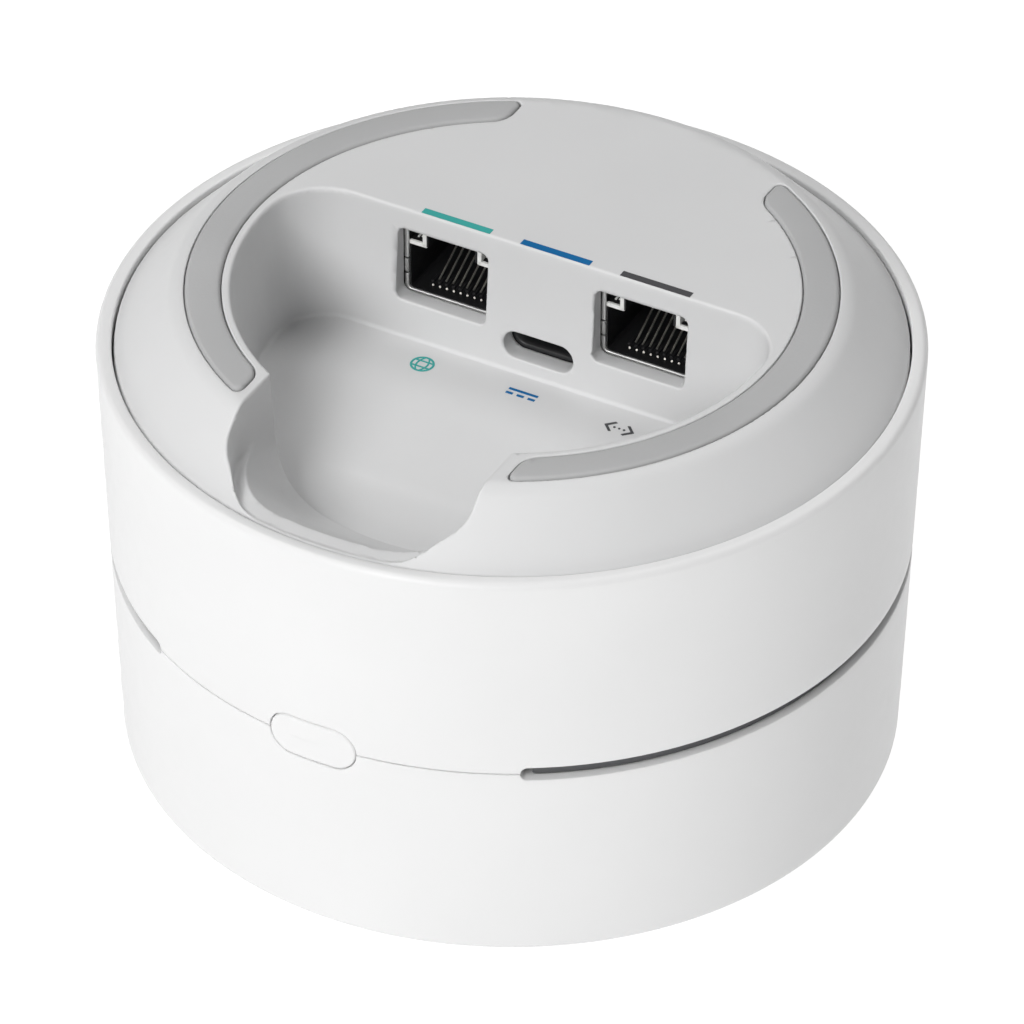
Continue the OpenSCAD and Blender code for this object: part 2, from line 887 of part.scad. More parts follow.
// Globe with one ring, two meridians and two parallels
module teal_marks() {
    r = 1.62;
    line = 0.24;
    color([0.2, 0.65, 0.6]) {
        bar_mark(-jack_x);
        translate([-jack_x, icon_y - 0.2, floor_z])
            linear_extrude(ink_t) {
                difference() {
                    circle(r = r, $fn = 48);
                    circle(r = r - line * 1.2, $fn = 48);
                }
                intersection() {
                    circle(r = r - line, $fn = 48);
                    union() {
                        for (y = [-0.6, 0.6])
                            translate([-r, y - line / 2])
                                square([2 * r, line]);
                        difference() {
                            lens(0.74 + line / 2, r + line / 2);
                            lens(0.74 - line / 2, r - line / 2);
                        }
                    }
                }
            }
    }
}

// Direct current sign: a line over three dashes
module blue_marks() {
    color([0.06, 0.37, 0.63]) {
        bar_mark(0);
        translate([0, icon_y + 0.2, floor_z]) {
            span([-2.1, 0.25, 0], [2.1, 0.65, ink_t]);
            for (x = [-1.6, 0, 1.6])
                span([x - 0.5, -0.65, 0], [x + 0.5, -0.25, ink_t]);
        }
    }
}

// Network sign: three dots between two angle marks
module dark_marks() {
    line = 0.34;
    color([0.29, 0.29, 0.3]) {
        bar_mark(jack_x);
        translate([jack_x, icon_y - 0.3, floor_z])
            linear_extrude(ink_t) {
                for (x = [-0.7, 0, 0.7])
                    translate([x, 0])
                        circle(r = 0.17, $fn = 16);
                for (s = [0, 1])
                    mirror([s, 0])
                        for (t = [-1, 1])
                            translate([1.95, 0])
                                polygon([[0.2, 0], [-0.9, t * 1.1], [-0.9 - line, t * (1.1 - line * 0.4)],
                                    [0.2 - 1.5 * line, 0]]);
            }
    }
}

top_cover();
side_housing();
base_plate();
rubber_foot_left();
rubber_foot_right();
light_ring();
reset_button();
button_guide();
switch_body();
switch_plunger();
wan_jack_shield();
wan_jack_insert();
wan_jack_contacts();
wan_jack_windows();
lan_jack_shield();
lan_jack_insert();
lan_jack_contacts();
lan_jack_windows();
usb_c_shell();
usb_c_tongue();
port_board();
ethernet_transformers();
power_inductor();
board_socket();
board_header();
main_board();
wifi_processor();
memory_chips();
flash_chip();
radio_shield_can();
processor_shield_can();
thermal_pads();
heat_sink();
inner_frame();
led_ring_board();
status_leds();
antenna_carrier();
antenna_front();
antenna_back();
antenna_left();
antenna_right();
antenna_leads();
antenna_sockets();
base_screws();
frame_screws();
heat_sink_screws();
port_board_screws();
teal_marks();
blue_marks();
dark_marks();
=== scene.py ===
"""Looks of the mesh wifi node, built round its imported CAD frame. Lengths are in millimetres until a mesh is made."""

import json
import math

import bmesh
import bpy
import numpy as np
import openvdb
from mathutils import Matrix, Vector


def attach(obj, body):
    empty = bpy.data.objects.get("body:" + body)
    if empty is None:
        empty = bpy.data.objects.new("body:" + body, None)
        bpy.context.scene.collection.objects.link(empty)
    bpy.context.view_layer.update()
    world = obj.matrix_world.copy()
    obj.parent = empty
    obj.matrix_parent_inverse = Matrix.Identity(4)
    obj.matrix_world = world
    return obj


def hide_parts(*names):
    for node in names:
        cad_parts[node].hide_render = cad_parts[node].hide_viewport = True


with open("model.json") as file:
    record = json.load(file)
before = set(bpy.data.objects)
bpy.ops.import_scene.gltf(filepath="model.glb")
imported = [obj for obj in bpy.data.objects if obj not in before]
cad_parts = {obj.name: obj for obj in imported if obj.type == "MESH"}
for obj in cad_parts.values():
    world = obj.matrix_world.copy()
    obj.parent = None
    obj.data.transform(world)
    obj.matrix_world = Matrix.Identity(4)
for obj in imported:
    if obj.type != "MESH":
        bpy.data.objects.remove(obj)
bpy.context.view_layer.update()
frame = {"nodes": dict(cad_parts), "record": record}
nodes = frame["nodes"]
MM = 0.001


# ---------------------------------------------------------------- dimensions written out from the CAD
SEAM_Z = 29.65
FACE_R, RIM_R, RIM_Z, RIM_EDGE = 51.06, 53.06, 60.0, 0.9
WALL = 2.4
GROOVE_HALF = 0.98
GROOVE_GAP_DEG = 30.0
FLAT_Z, FLAT_R = 67.54, 42.83
BASE_R, BASE_EDGE_Z, BASE_LOW_Z, BASE_WALL = 50.75, 59.25, 55.5, 2.0
POCKET_R, WALL_Y, FLOOR_Z, DRAFT_DEG = 35.73, 8.05, 48.5, 4.5
EXIT_HALF_W, EXIT_R, LAND_Z = 17.1, 50.35, 59.45
JACK_X, JACK_W, JACK_LOW_Z, JACK_HIGH_Z = 14.45, 13.3, 53.9, 64.45
USB_Z, USB_W, USB_H = 52.5, 10.2, 3.9
FOOT_IN_R, FOOT_OUT_R, FOOT_END_X, FOOT_FLOOR_Z, FOOT_TOP_Z = 36.84, 41.65, 18.75, 66.6, 67.85
BUTTON_W, BUTTON_H, BUTTON_GAP = 12.5, 6.4, 0.15
PORT_FRONT_Y, PORT_BACK_Y = 9.75, 9.65
BOSS_AT_R, BOSS_R, PILOT_R, BOSS_TOP_Z = 43.6, 2.8, 1.02, 31.6

# sizes that shape the visual layer: several differ from the CAD's
SEAM_HALF, RIM_IN_R = 0.09, 51.0
EXIT_CORNER_R, RAMP_DEG, RAMP_CORNER_R = 8.8, 39.9, 9.6
RAMP_R = POCKET_R - math.tan(math.radians(DRAFT_DEG)) * (FLAT_Z - FLOOR_Z) + 0.3
TUB_WALL, COLLAR_WALL = 1.7, 1.1
FLAT_EDGE_R, BASE_EDGE_R, OPENING_EDGE_R, GROOVE_EDGE_R, CUT_EDGE_R = 1.0, 0.25, 0.22, 0.2, 0.4
FLOOR_FILLET_R, RAMP_TOE_R, LEDGE_FILLET_R, LEDGE_LIP_R, POCKET_MOUTH_R = 0.5, 3.5, 0.7, 0.15, 0.35
FOOT_GAP, FOOT_SHIFT_X, FOOT_CORNER_R, FOOT_EDGE_R, FOOT_CROWN = 0.12, 0.3, 1.5, 0.55, 0.10
RIB_TOP_Z = 24.0


def shell_r(z):
    return FACE_R + (RIM_R - FACE_R) * z / RIM_Z


# ---------------------------------------------------------------- materials
def socket(node, name, value):
    node.inputs[name].default_value = value


class Mat:
    """A procedural material: a Principled shader with its colour, roughness and bump from 3-D noise."""

    def __init__(self, name):
        self.m = bpy.data.materials.new(name)
        self.m.use_nodes = True
        self.t = self.m.node_tree
        self.shader = self.t.nodes["Principled BSDF"]
        self.coord = self.t.nodes.new("ShaderNodeTexCoord").outputs["Object"]

    def node(self, kind, **props):
        n = self.t.nodes.new("ShaderNode" + kind)
        for k, v in props.items():
            setattr(n, k, v)
        return n

    def link(self, a, b):
        self.t.links.new(a, b)

    def noise(self, scale, detail=2.0, rough=0.5, stretch=None):
        n = self.node("TexNoise")
        socket(n, "Scale", scale)
        socket(n, "Detail", detail)
        socket(n, "Roughness", rough)
        at = self.coord
        if stretch:
            mapping = self.node("Mapping")
            self.link(at, mapping.inputs["Vector"])
            mapping.inputs["Scale"].default_value = stretch
            at = mapping.outputs["Vector"]
        self.link(at, n.inputs["Vector"])
        return n.outputs["Fac"]

    def span(self, value, low, high, from_low=0.3, from_high=0.7):
        n = self.node("MapRange")
        socket(n, "From Min", from_low)
        socket(n, "From Max", from_high)
        socket(n, "To Min", low)
        socket(n, "To Max", high)
        self.link(value, n.inputs["Value"])
        return n.outputs["Result"]

    def mix(self, value, a, b):
        n = self.node("Mix", data_type="RGBA")
        for s, c in ((n.inputs[6], a), (n.inputs[7], b)):
            if hasattr(c, "links"):
                self.link(c, s)
            else:
                s.default_value = (*c, 1)
        self.link(value, n.inputs[0])
        return n.outputs[2]

    def bump(self, height, distance, strength=1.0, under=None):
        n = self.node("Bump")
        socket(n, "Distance", distance)
        socket(n, "Strength", strength)
        self.link(height, n.inputs["Height"])
        if under:
            self.link(under, n.inputs["Normal"])
        return n.outputs["Normal"]

    def into(self, name, value):
        self.link(value, self.shader.inputs[name])

    def set(self, **values):
        for k, v in values.items():
            self.shader.inputs[k.replace("_", " ")].default_value = v


def shade(colour, by):
    return tuple(min(1.0, c * by) for c in colour)


def moulded(name, colour, rough=0.45, grain=2600.0, depth=0.012, vary=0.03, **values):
    """Moulded plastic or rubber: fine spark-eroded grain, slow tone drift, and a slightly uneven gloss."""
    m = Mat(name)
    drift = m.noise(38.0, 3.0)
    m.into("Base Color", m.mix(m.span(drift, 0, 1), shade(colour, 1 - vary), shade(colour, 1 + vary)))
    gloss = m.noise(420.0, 4.0, 0.6)
    m.into("Roughness", m.span(gloss, rough - 0.05, rough + 0.06))
    fine = m.noise(grain, 3.0, 0.6)
    wave = m.noise(60.0, 1.0)
    m.into("Normal", m.bump(fine, depth * MM, 1.0, m.bump(wave, 0.02 * MM, 0.5)))
    m.set(**values)
    return m.m


def metal(name, colour, rough=0.3, stretch=(1, 1, 14), scratch=900.0, **values):
    """Rolled or plated metal: scratches along the rolling direction and faint stains."""
    m = Mat(name)
    lines = m.noise(scratch, 3.0, 0.7, stretch)
    stain = m.noise(160.0, 4.0, 0.6)
    m.into("Base Color", m.mix(m.span(stain, 0, 1), shade(colour, 0.86), colour))
    m.into("Roughness", m.span(lines, rough - 0.08, rough + 0.14))
    m.into("Normal", m.bump(lines, 0.006 * MM, 0.8))
    m.set(Metallic=1.0, **values)
    return m.m


def board(name, mask, trace):
    """Solder mask over copper: straight tracks, pads and vias show through it."""
    m = Mat(name)
    tracks = m.node("TexBrick")
    socket(tracks, "Scale", 260.0)
    socket(tracks, "Mortar Size", 0.09)
    socket(tracks, "Brick Width", 1.7)
    socket(tracks, "Row Height", 0.42)
    m.link(m.coord, tracks.inputs["Vector"])
    vias = m.node("TexVoronoi")
    socket(vias, "Scale", 420.0)
    socket(vias, "Randomness", 0.6)
    m.link(m.coord, vias.inputs["Vector"])
    dot = m.span(vias.outputs["Distance"], 1, 0, 0.10, 0.14)
    base = m.mix(tracks.outputs["Fac"], mask, trace)
    m.into("Base Color", m.mix(dot, base, (0.75, 0.62, 0.35)))
    m.into("Roughness", m.span(m.noise(500.0, 3.0), 0.24, 0.4))
    m.into("Normal", m.bump(tracks.outputs["Fac"], 0.03 * MM, 0.7))
    return m.m


WHITE, GREY = (0.722, 0.722, 0.722), (0.634, 0.635, 0.637)
MATS = {
    "shell_white": moulded("shell_white", WHITE, 0.42, vary=0.012),
    "base_grey": moulded("base_grey", GREY, 0.5, vary=0.015),
    "foot_rubber": moulded("foot_rubber", (0.418, 0.419, 0.421), 0.72, 1800.0, 0.02, 0.05),
    # the light guide's near-black colour is painted shade: it makes the back of the light groove read as deep shadow
    "light_guide": moulded("light_guide", (0.07, 0.072, 0.075), 0.34, depth=0.006, vary=0.04,
                           Subsurface_Weight=0.1, Subsurface_Radius=(0.002, 0.002, 0.002)),
    "inner_plastic": moulded("inner_plastic", (0.56, 0.57, 0.58), 0.5),
    "black_plastic": moulded("black_plastic", (0.012, 0.012, 0.013), 0.42, 2400.0, 0.012, 0.2),
    "plated_steel": metal("plated_steel", (0.80, 0.80, 0.79), 0.46),
    "circuit_board": board("circuit_board", (0.012, 0.075, 0.035), (0.03, 0.16, 0.07)),
    "white_board": board("white_board", (0.78, 0.78, 0.75), (0.66, 0.67, 0.64)),
    "thermal_pad": moulded("thermal_pad", (0.36, 0.42, 0.5), 0.8, 900.0, 0.04, 0.08),
    "cast_heat_sink": metal("cast_heat_sink", (0.58, 0.59, 0.6), 0.5, (1, 1, 1), 1500.0),
    "led_lens": moulded("led_lens", (0.84, 0.84, 0.82), 0.22, depth=0.003, vary=0.02,
                        Subsurface_Weight=0.3, Subsurface_Radius=(0.001, 0.001, 0.001)),
    "antenna_metal": metal("antenna_metal", (0.78, 0.47, 0.27), 0.32),
    "lead_jacket": moulded("lead_jacket", (0.02, 0.02, 0.022), 0.5, 1500.0, 0.01, 0.15),
    "contact_gold": metal("contact_gold", (0.82, 0.79, 0.73), 0.36),
    "screw_steel": metal("screw_steel", (0.6, 0.6, 0.62), 0.3, (1, 1, 3)),
    "teal_ink": moulded("teal_ink", (0.042, 0.36, 0.33), 0.6, 3500.0, 0.006, 0.08, Specular_IOR_Level=0.3),
    "blue_ink": moulded("blue_ink", (0.001, 0.125, 0.33), 0.6, 3500.0, 0.006, 0.08, Specular_IOR_Level=0.25),
    "dark_ink": moulded("dark_ink", (0.062, 0.062, 0.066), 0.6, 3500.0, 0.006, 0.08, Specular_IOR_Level=0.3),
}
for part in frame["record"]["subparts"]:
    mesh = nodes[part["node"]].data
    if not mesh.materials:
        mesh.materials.append(None)
    for i in range(len(mesh.materials)):
        mesh.materials[i] = MATS[part["material_slot"]]


# ---------------------------------------------------------------- mesh helpers
def piece(name, verts, faces, slot, body, *replaced, smooth=True):
    """A finished piece from points in millimetres."""
    mesh = bpy.data.meshes.new(name)
    mesh.from_pydata((np.asarray(verts, float) * MM).tolist(), [], [list(map(int, f)) for f in faces])
    mesh.validate()
    mesh.update()
    obj = bpy.data.objects.new(name, mesh)
    bpy.context.scene.collection.objects.link(obj)
    mesh.materials.append(MATS[slot])
    if smooth:
        mesh.polygons.foreach_set("use_smooth", [True] * len(mesh.polygons))
    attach(obj, body)
    if replaced:
        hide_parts(*replaced)
    return obj


def sharpen(obj, deg=35.0):
    """Marks the edges that turn by more than deg, so that they shade as edges."""
    obj.data.set_sharp_from_angle(angle=math.radians(deg))
    return obj


class Build:
    """Points and faces gathered for one mesh."""

    def __init__(self):
        self.v, self.f, self.n = [], [], 0

    def add(self, verts, faces):
        verts = np.asarray(verts, float).reshape(-1, 3)
        self.v.append(verts)
        self.f += [[i + self.n for i in f] for f in faces]
        self.n += len(verts)
        return self

    def loft(self, rows, closed_rows=False, caps=(False, False), flip=False):
        """Quads between rows of points. A row is an (n, 3) array; all rows have the same n."""
        rows = [np.asarray(r, float) for r in rows]
        n = len(rows[0])
        faces = []
        last = len(rows) if closed_rows else len(rows) - 1
        for i in range(last):
            j = (i + 1) % len(rows)
            for k in range(n):
                m = (k + 1) % n
                q = [i * n + k, i * n + m, j * n + m, j * n + k]
                faces.append(q[::-1] if flip else q)
        for side, cap in zip((0, len(rows) - 1), caps):
            if cap:
                ring = [side * n + k for k in range(n)]
                faces.append(ring if (side > 0) != flip else ring[::-1])
        return self.add(np.vstack(rows), faces)

    def box(self, low, high, bevel=0.0):
        """A box with cut edges."""
        low, high = np.array(low, float), np.array(high, float)
        b = min(bevel, *(abs(high - low) * 0.45))
        rows = []
        for z, e in ((low[2], b), (low[2] + b, 0), (high[2] - b, 0), (high[2], b)):
            x0, x1, y0, y1 = low[0] + e, high[0] - e, low[1] + e, high[1] - e
            rows.append([(x0 + b, y0, z), (x1 - b, y0, z), (x1, y0 + b, z), (x1, y1 - b, z),
                         (x1 - b, y1, z), (x0 + b, y1, z), (x0, y1 - b, z), (x0, y0 + b, z)])
        return self.loft(rows, caps=(True, True))

    def tube(self, path, radius, sides=8):
        """A round wire along path, with closed ends."""
        path = np.asarray(path, float)
        rows = []
        for i, p in enumerate(path):
            t = path[min(i + 1, len(path) - 1)] - path[max(i - 1, 0)]
            t /= np.linalg.norm(t)
            side = np.cross(t, (1.0, 0, 0)) if abs(t[0]) < 0.9 else np.cross(t, (0, 0, 1.0))
            side /= np.linalg.norm(side)
            up = np.cross(t, side)
            a = np.arange(sides) * 2 * math.pi / sides
            rows.append(p + radius * (np.cos(a)[:, None] * side + np.sin(a)[:, None] * up))
        return self.loft(rows, caps=(True, True), flip=True)

    def done(self, name, slot, body, *replaced, **more):
        return piece(name, np.vstack(self.v), self.f, slot, body, *replaced, **more)


def outward(obj):
    """Turns every closed shell of a mesh to face outwards."""
    bpy.context.view_layer.objects.active = obj
    bm = bmesh.new()
    bm.from_mesh(obj.data)
    bmesh.ops.recalc_face_normals(bm, faces=bm.faces)
    bm.to_mesh(obj.data)
    bm.free()
    return obj


def polar(phi, r, z):
    """Points from degrees from the front (-Y), positive to the right (+X)."""
    a = np.radians(np.asarray(phi, float) - 90.0)
    r, z = np.broadcast_to(r, a.shape), np.broadcast_to(z, a.shape)
    return np.stack([r * np.cos(a), r * np.sin(a), z], axis=1)


# ---------------------------------------------------------------- base plate: a smooth field with true fillets
def round_and(a, b, r):
    """Intersection of two fields with an edge radius r."""
    return np.minimum(-r, np.maximum(a, b)) + np.hypot(np.maximum(a + r, 0), np.maximum(b + r, 0))


def round_or(a, b, r):
    return -round_and(-a, -b, r)


def rounded_box(u, v, half_u, half_v, r):
    qu, qv = np.abs(u) - half_u + r, np.abs(v) - half_v + r
    return np.hypot(np.maximum(qu, 0), np.maximum(qv, 0)) + np.minimum(np.maximum(qu, qv), 0) - r


def base_field(x, y, z):
    """Signed distance to the base plate, negative inside."""
    r = np.hypot(x, y)
    cone_n = np.array([BASE_EDGE_Z - FLAT_Z, FLAT_R - BASE_R], float)
    cone_n = -cone_n / np.hypot(*cone_n)
    cone = (r - FLAT_R) * cone_n[0] + (z - FLAT_Z) * cone_n[1]
    outer = round_and(z - FLAT_Z, cone, FLAT_EDGE_R)
    outer = round_and(outer, r - BASE_R, BASE_EDGE_R)
    shell = np.maximum(np.maximum(outer, -(outer + BASE_WALL)), BASE_LOW_Z - z)
    # the pocket: a D outline with drafted walls and a small fillet at its floor
    draft = math.radians(DRAFT_DEG)
    corner_x = POCKET_R - WALL_Y
    ring = r - POCKET_R
    back = np.hypot(np.maximum(np.abs(x) - corner_x, 0), np.maximum(y, 0)) - WALL_Y
    plan = np.where(y > 0, back, np.maximum(ring, y - WALL_Y))
    wall = (plan + math.tan(draft) * (FLAT_Z - z)) * math.cos(draft)
    floor = FLOOR_Z - z
    pocket = round_and(wall, floor, FLOOR_FILLET_R)
    # the cable exit: a ramp with wide corners and a soft toe, and above it a ledge inside a wider outline
    climb = math.tan(math.radians(RAMP_DEG))
    u, v = np.abs(x) - EXIT_HALF_W, r - RAMP_R - (z - FLOOR_Z) / climb
    bend_u, bend_v = np.maximum(u + RAMP_CORNER_R, 0), np.maximum(v + RAMP_CORNER_R, 0)
    bend = np.hypot(bend_u, bend_v)
    lean = np.where(bend_u > 0, bend_v / np.maximum(bend, 1e-6), (v > u) * 1.0)
    ramp = (np.minimum(-RAMP_CORNER_R, np.maximum(u, v)) + bend) / np.sqrt(1 + (lean / climb) ** 2)
    ramp = round_and(np.maximum(ramp, y + 20), floor, RAMP_TOE_R)
    ledge = round_and(np.abs(x) - EXIT_HALF_W, r - EXIT_R, EXIT_CORNER_R)
    ledge = round_and(np.maximum(ledge, y + 20), LAND_Z - z, LEDGE_FILLET_R)
    void = round_or(round_or(ramp, ledge, LEDGE_LIP_R), pocket, POCKET_MOUTH_R)
    # openings through the port wall
    through = np.abs(y - 8) - 6
    for cx in (-JACK_X, JACK_X):
        window = rounded_box(x - cx, z - (JACK_LOW_Z + JACK_HIGH_Z) / 2, JACK_W / 2,
                             (JACK_HIGH_Z - JACK_LOW_Z) / 2, 1.0)
        void = round_or(void, np.maximum(window, through), OPENING_EDGE_R)
    pill = rounded_box(x, z - USB_Z, USB_W / 2, USB_H / 2, USB_H / 2 - 0.01)
    # the tub round all of it, with a collar round the power inlet
    tub = np.minimum(void - TUB_WALL, np.maximum(np.maximum(pill - COLLAR_WALL, 5 - y), void - 4))
    tub = np.maximum(np.maximum(tub, outer), y - PORT_BACK_Y)
    void = round_or(void, np.maximum(pill, through), OPENING_EDGE_R)
    solid = round_and(np.minimum(shell, tub), -void, CUT_EDGE_R)
    groove = np.maximum(foot_plan(x, y, 0.0), FOOT_FLOOR_Z - z)
    return round_and(solid, -groove, GROOVE_EDGE_R)


def foot_plan(x, y, gap):
    """Outline of both feet, drawn in by gap: an arc band that ends on lines parallel to Y."""
    mid_r = (FOOT_IN_R + FOOT_OUT_R) / 2
    across = np.abs(np.hypot(x, y) - mid_r) - (FOOT_OUT_R - FOOT_IN_R) / 2 + gap
    end = FOOT_END_X + gap + FOOT_SHIFT_X * np.sign(x)
    return round_and(end - np.abs(x), across, FOOT_CORNER_R)


def foot_field(side):
    """Signed distance to one foot, whose top falls a little towards both edges."""
    def field(x, y, z):
        plan = np.maximum(foot_plan(x, y, FOOT_GAP), -side * x)
        mid_r = (FOOT_IN_R + FOOT_OUT_R) / 2
        crown = FOOT_CROWN * ((np.hypot(x, y) - mid_r) / 2.4) ** 2
        return round_and(round_and(plan, z - FOOT_TOP_Z + crown, FOOT_EDGE_R), FOOT_FLOOR_Z + 0.02 - z, 0.1)
    return field


def field_mesh(name, field, low, high, step, adapt, slot, body, *replaced):
    """Meshes a field's zero surface, moves its points onto the field and shades it with the field's own slope."""
    axes = [np.arange(low[i], high[i] + step, step, dtype=np.float32) for i in range(3)]
    grid = np.empty([len(a) for a in axes], np.float32)
    layers = 12
    for k in range(0, len(axes[2]), layers):
        zz = axes[2][None, None, k:k + layers]
        grid[:, :, k:k + layers] = field(axes[0][:, None, None] + 0 * zz, axes[1][None, :, None] + 0 * zz,
                                         zz + 0 * axes[0][:, None, None])
    band = 3 * step
    np.clip(grid, -band, band, out=grid)
    vdb = openvdb.FloatGrid(band)
    vdb.copyFromArray(grid)
    points, tris, quads = vdb.convertToPolygons(isovalue=0.0, adaptivity=adapt)
    start = points.astype(np.float64) * step + np.array([a[0] for a in axes])
    p = start.copy()
    for _ in range(4):
        d, g = slope(field, p, 0.01)
        p -= g * (d / np.maximum((g ** 2).sum(1), 0.3))[:, None]
        way = p - start
        size = np.linalg.norm(way, axis=1, keepdims=True)
        p = start + way * np.minimum(1, 0.45 * step / np.maximum(size, 1e-9))
    # a small face that turned over at a tight edge is drawn together into one point
    corners = np.vstack([np.hstack([tris, tris[:, 2:]]), quads])
    for _ in range(4):
        a, b, c, d = (p[corners[:, i]] for i in range(4))
        way = np.cross(c - a, d - b) + np.cross(b - a, c - a) * (corners[:, 2] == corners[:, 3])[:, None]
        g = slope(field, (a + b + c + d) / 4, 0.05)[1]
        bad = corners[(way * g).sum(1) < 0.3 * np.linalg.norm(way, axis=1) * np.linalg.norm(g, axis=1)]
        p[bad] = p[bad].mean(axis=1, keepdims=True)
    faces = tris.tolist() + quads.tolist()
    obj = piece(name, p, faces, slot, body, *replaced)
    bm = bmesh.new()
    bm.from_mesh(obj.data)
    bmesh.ops.remove_doubles(bm, verts=bm.verts, dist=2e-7)
    bmesh.ops.dissolve_degenerate(bm, edges=bm.edges, dist=1e-8)
    bm.to_mesh(obj.data)
    bm.free()
    v = np.empty(3 * len(obj.data.vertices))
    obj.data.vertices.foreach_get("co", v)
    g = slope(field, v.reshape(-1, 3) / MM, 0.02)[1]
    g /= np.maximum(np.linalg.norm(g, axis=1, keepdims=True), 1e-9)
    obj.data.normals_split_custom_set_from_vertices(g.tolist())
    return obj


def slope(field, p, h):
    """A field's value and its gradient at points p."""
    x, y, z = p[:, 0], p[:, 1], p[:, 2]
    g = np.stack([field(x + h, y, z) - field(x - h, y, z), field(x, y + h, z) - field(x, y - h, z),
                  field(x, y, z + h) - field(x, y, z - h)], axis=1) / (2 * h)
    return field(x, y, z), g


field_mesh("base_cover", base_field, (-51.2, -51.2, 46.2), (51.2, 51.2, 68.0), 0.25, 0.03, "base_grey", "housing",
           "base_plate")


# ---------------------------------------------------------------- outer shells
def edge_outline():
    """Half of the edge that the two shells share, with the button opening, the seam and the light groove.

    It runs from the front to the back. A row is degrees, height off the seam, and the way into the material."""
    rows = []
    mid_r = shell_r(SEAM_Z)
    straight, cap = (BUTTON_W - BUTTON_H) / 2, BUTTON_H / 2
    for x in (0.0, 0.8, 1.6, 2.4):
        rows.append((math.degrees(math.asin(x / mid_r)), cap, 0.0, 1.0))
    end = math.asin(SEAM_HALF / cap)
    for t in np.linspace(math.pi / 2, end, 13)[:-1]:
        x = straight + cap * math.cos(t)
        rows.append((math.degrees(math.asin(x / mid_r)), cap * math.sin(t), math.cos(t), math.sin(t)))
    rows.append((math.degrees(math.asin((straight + cap) / mid_r)), SEAM_HALF, 1.0, 1.0))
    end_deg = GROOVE_GAP_DEG + math.degrees(math.asin(GROOVE_HALF / mid_r))
    first = end_deg - math.degrees(GROOVE_HALF / mid_r)
    start = rows[-1][0]
    for a in np.linspace(start, first, 14)[1:-1]:
        rows.append((a, SEAM_HALF, 0.0, 1.0))
    rows.append((first, SEAM_HALF, -1.0, 1.0))
    for t in np.linspace(math.pi, math.pi / 2, 7)[1:]:
        bend = math.degrees(GROOVE_HALF * math.cos(t) / mid_r)
        rows.append((end_deg + bend, GROOVE_HALF * math.sin(t), math.cos(t), math.sin(t)))
    for a in np.linspace(end_deg, 180, 76)[1:]:
        rows.append((a, GROOVE_HALF, 0.0, 1.0))
    return np.array(rows)


half = edge_outline()
left = half[1:-1][::-1] * (-1, 1, -1, 1)
OUTLINE = np.vstack([half, left])
COLS = len(OUTLINE)
EVEN = np.concatenate([np.linspace(0, 180, len(half)), np.linspace(-180, 0, len(left) + 2)[1:-1]])


def edge_rows(sign, radius, steps=4):
    """Rows over the rounded edge, from the outer wall inwards. sign is -1 for the lower shell, 1 for the upper."""
    phi, gap, ns, nz = OUTLINE.T
    mid_r = shell_r(SEAM_Z)
    rows = []
    for a in np.linspace(0, math.pi / 2, steps):
        off = radius * (1 - math.sin(a))
        sink = radius * (1 - math.cos(a))
        at = phi + np.degrees(ns * off / mid_r)
        z = SEAM_Z + sign * (gap + nz * off)
        rows.append((at, shell_r(z) - sink, z))
    return rows


def blend_row(t, z0, edge, inset=0.0):
    """A row part of the way (t) from even spacing at height z0 to the edge."""
    at = EVEN + (edge[0] - EVEN) * t
    z = z0 + (edge[2] - z0) * t
    return polar(at, shell_r(z) - inset, z)


def arc(cx, cz, r, a0, a1, n):
    turns = np.radians(np.linspace(a0, a1, n))
    return [(cx + r * math.cos(a), cz + r * math.sin(a)) for a in turns]


def make_shell(sign, closed, profile_out, profile_in):
    """A shell from its far face, up its outer wall to the shared edge, and back down inside."""
    edge = edge_rows(sign, 0.16)
    rows = [polar(EVEN, r, z) for r, z in profile_out]
    z0 = profile_out[-1][1]
    rows += [blend_row(t, z0, edge[0]) for t in (0.2, 0.4, 0.6, 0.75, 0.87, 0.95)]
    rows += [polar(*e) for e in edge]
    last = edge[-1]
    rows.append(polar(last[0], shell_r(last[2]) - 1.3, last[2]))
    rows.append(polar(last[0], shell_r(last[2]) - WALL, last[2]))
    z1 = profile_in[0][1]
    rows += [blend_row(t, z1, last, WALL) for t in (0.7, 0.35)]
    rows += [polar(EVEN, r, z) for r, z in profile_in]
    b = Build()
    b.loft(rows, closed_rows=closed)
    return b, rows


